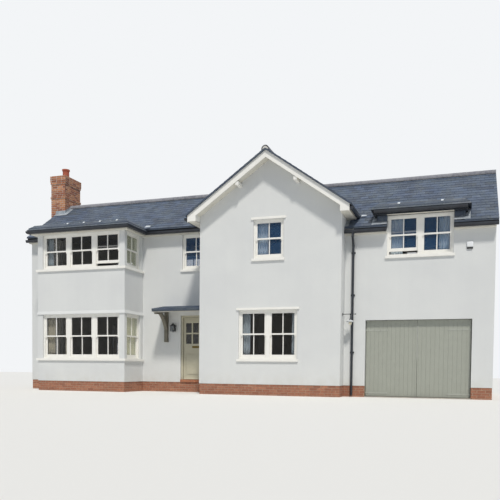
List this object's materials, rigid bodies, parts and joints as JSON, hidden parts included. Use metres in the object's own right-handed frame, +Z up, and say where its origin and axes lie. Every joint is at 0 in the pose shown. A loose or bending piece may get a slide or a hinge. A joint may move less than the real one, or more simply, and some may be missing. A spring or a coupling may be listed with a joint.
{
  "type": "detached house",
  "caption": "Two-storey rendered house with slate roofs, a square bay, a gabled wing, a porch and a garage; the front door and both garage doors swing on hinges.",
  "frame": {"origin": "on the ground face under the middle of the main ridge, at the lowest ground level", "axes": "+X to the right along the front, +Y to the back, +Z up; the front faces -Y"},
  "size_m": [16.365, 7.61, 8.655],
  "materials": {
    "render": "smooth painted render",
    "brick": "red-brown clay brick",
    "slate": "blue-grey natural slate",
    "ridge_clay": "grey clay ridge tile",
    "painted_timber": "off-white painted timber",
    "fascia_timber": "cream painted boards",
    "gutter_metal": "black painted metal",
    "window_glass": "clear float glass",
    "curtain_fabric": "plain woven curtain",
    "floor_screed": "smooth floor",
    "door_paint": "grey-green painted timber",
    "brass": "satin brass",
    "oak_paint": "dark painted bracket timber",
    "garage_paint": "sage grey painted boards",
    "terracotta": "terracotta",
    "lead": "weathered sheet lead",
    "lamp_metal": "black painted metal",
    "alarm_plastic": "white moulded plastic"
  },
  "bodies": {
    "house": {"plinth_along_front": "brick", "plinth_along_back": "brick", "plinth_across": "brick", "ground_floor": "floor_screed", "garage_floor": "floor_screed", "first_floor": "floor_screed", "range_wall_left": "render", "entrance_walls": "render", "entrance_wall_over": "render", "bay_front_wall": "render", "bay_side_walls": "render", "wing_front_wall": "render", "wing_rear_wall": "render", "wing_side_walls": "render", "garage_piers": "render", "garage_wall_over": "render", "rear_walls": "render", "end_walls": "render", "front_roof": "slate", "rear_roof": "slate", "wing_roof_left": "slate", "wing_roof_right": "slate", "bay_roof": "slate", "dormer_roofs": "slate", "dormer_cheeks": "slate", "ridge_tiles": "ridge_clay", "bargeboards": "painted_timber", "purlin_ends": "painted_timber", "eaves_boards": "fascia_timber", "gutters": "gutter_metal", "downpipes": "gutter_metal", "bay_windows": "painted_timber", "front_windows": "painted_timber", "dormer_windows": "painted_timber", "rear_windows": "painted_timber", "window_sills": "painted_timber", "bay_sills": "painted_timber", "head_mouldings": "painted_timber", "window_glass": "window_glass", "curtains": "curtain_fabric", "door_frame": "door_paint", "brick_step": "brick", "porch_roof": "slate", "porch_boards": "fascia_timber", "porch_bracket": "oak_paint", "garage_frame": "garage_paint", "chimney_breast": "render", "chimney_stack": "brick", "chimney_pot": "terracotta", "lead_flashings": "lead", "lantern": "lamp_metal", "swan_neck_lamp": "lamp_metal", "alarm_box": "alarm_plastic"},
    "front_door": {"door_leaf": "door_paint", "door_glass": "window_glass", "door_furniture": "brass"},
    "left_garage_door": {"garage_door_left": "garage_paint", "garage_straps_left": "garage_paint"},
    "right_garage_door": {"garage_door_right": "garage_paint", "garage_straps_right": "garage_paint"}
  },
  "joints": [
    {"name": "front_door_hinge", "type": "hinge", "parent": "house", "child": "front_door", "pos_m": [-1.87, -1.866, 0.427], "axis": [0, 0, 1], "range_deg": [0, 90]},
    {"name": "left_garage_hinge", "type": "hinge", "parent": "house", "child": "left_garage_door", "pos_m": [4.447, -2.671, 0.037], "axis": [0, 0, -1], "range_deg": [0, 90]},
    {"name": "right_garage_hinge", "type": "hinge", "parent": "house", "child": "right_garage_door", "pos_m": [7.405, -2.671, 0.037], "axis": [0, 0, 1], "range_deg": [0, 90]}
  ]
}
